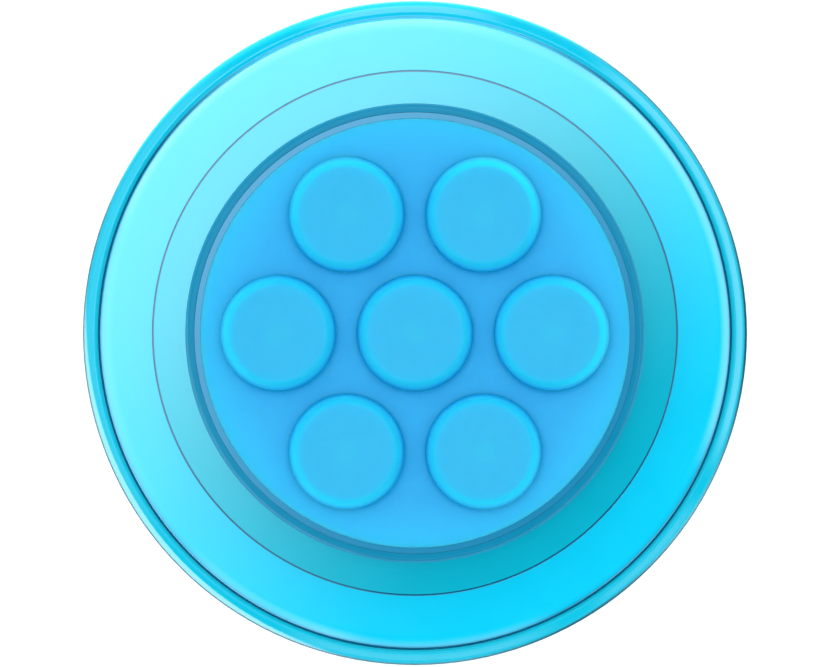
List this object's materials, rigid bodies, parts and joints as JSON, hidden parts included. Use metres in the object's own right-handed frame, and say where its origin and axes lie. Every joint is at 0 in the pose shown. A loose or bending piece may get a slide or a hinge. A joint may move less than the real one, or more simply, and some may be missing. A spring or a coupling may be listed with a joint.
{
  "type": "magnetic phone grip",
  "caption": "Round magnetic phone grip, folded flat: a clear-rimmed base with a metallised ring, a folding accordion, and a turn-lock top with silicone push bubbles.",
  "frame": {"origin": "centre of the back face, which sits on the phone", "axes": "+Z out of the phone towards the bubbles; +X through the middle of bubble_1, one of the six outer bubbles; +Y is up as the grip is usually pictured"},
  "size_m": [0.0576, 0.0576, 0.0108],
  "materials": {
    "clear_rim": "translucent cyan, high gloss",
    "metallised_ring": "metallised cyan, satin sheen",
    "metallised_web": "metallised teal, satin sheen",
    "shunt_steel": "bare rolled steel",
    "magnet_plating": "bright nickel plating",
    "back_silicone": "soft matt silicone",
    "accordion_rubber": "satin thermoplastic rubber",
    "platform_plastic": "fine moulded texture",
    "top_plastic": "gloss moulded",
    "well_plastic": "fine moulded texture",
    "retainer_plastic": "satin moulded",
    "push_silicone": "translucent silicone, soft sheen"
  },
  "bodies": {
    "base": {"back_pad": "back_silicone", "base_shell": "clear_rim", "front_ring": "metallised_ring", "web_ring": "metallised_web", "shunt_ring": "shunt_steel", "magnet_01": "magnet_plating", "magnet_02": "magnet_plating", "magnet_03": "magnet_plating", "magnet_04": "magnet_plating", "magnet_05": "magnet_plating", "magnet_06": "magnet_plating", "magnet_07": "magnet_plating", "magnet_08": "magnet_plating", "magnet_09": "magnet_plating", "magnet_10": "magnet_plating", "magnet_11": "magnet_plating", "magnet_12": "magnet_plating", "magnet_13": "magnet_plating", "magnet_14": "magnet_plating", "magnet_15": "magnet_plating", "magnet_16": "magnet_plating", "magnet_17": "magnet_plating", "magnet_18": "magnet_plating", "accordion_foot": "accordion_rubber", "accordion_fold_lower": "accordion_rubber"},
    "lower_ring": {"accordion_ring_lower": "accordion_rubber", "accordion_fold_middle": "accordion_rubber"},
    "upper_ring": {"accordion_ring_upper": "accordion_rubber", "accordion_fold_upper": "accordion_rubber"},
    "platform": {"platform": "platform_plastic"},
    "top": {"top_shell": "top_plastic", "well_plate": "well_plastic", "popper_pad": "push_silicone", "retaining_ring": "retainer_plastic"},
    "bubble_centre": {"bubble_centre": "push_silicone"},
    "bubble_1": {"bubble_1": "push_silicone"},
    "bubble_2": {"bubble_2": "push_silicone"},
    "bubble_3": {"bubble_3": "push_silicone"},
    "bubble_4": {"bubble_4": "push_silicone"},
    "bubble_5": {"bubble_5": "push_silicone"},
    "bubble_6": {"bubble_6": "push_silicone"}
  },
  "joints": [
    {"name": "fold_lower", "type": "slide", "parent": "base", "child": "lower_ring", "axis": [0, 0, 1], "range_m": [0, 0.0058], "deforming": ["accordion_fold_lower"]},
    {"name": "fold_middle", "type": "slide", "parent": "lower_ring", "child": "upper_ring", "axis": [0, 0, 1], "range_m": [0, 0.0058], "deforming": ["accordion_fold_middle"]},
    {"name": "fold_upper", "type": "slide", "parent": "upper_ring", "child": "platform", "axis": [0, 0, 1], "range_m": [0, 0.0058], "deforming": ["accordion_fold_upper"]},
    {"name": "top_turn", "type": "hinge", "parent": "platform", "child": "top", "pos_m": [0, 0, 0.0052], "axis": [0, 0, 1], "range_deg": [0, 90]},
    {"name": "push_centre", "type": "slide", "parent": "top", "child": "bubble_centre", "axis": [0, 0, -1], "range_m": [0, 0.0027]},
    {"name": "push_1", "type": "slide", "parent": "top", "child": "bubble_1", "axis": [0, 0, -1], "range_m": [0, 0.0027]},
    {"name": "push_2", "type": "slide", "parent": "top", "child": "bubble_2", "axis": [0, 0, -1], "range_m": [0, 0.0027]},
    {"name": "push_3", "type": "slide", "parent": "top", "child": "bubble_3", "axis": [0, 0, -1], "range_m": [0, 0.0027]},
    {"name": "push_4", "type": "slide", "parent": "top", "child": "bubble_4", "axis": [0, 0, -1], "range_m": [0, 0.0027]},
    {"name": "push_5", "type": "slide", "parent": "top", "child": "bubble_5", "axis": [0, 0, -1], "range_m": [0, 0.0027]},
    {"name": "push_6", "type": "slide", "parent": "top", "child": "bubble_6", "axis": [0, 0, -1], "range_m": [0, 0.0027]}
  ]
}
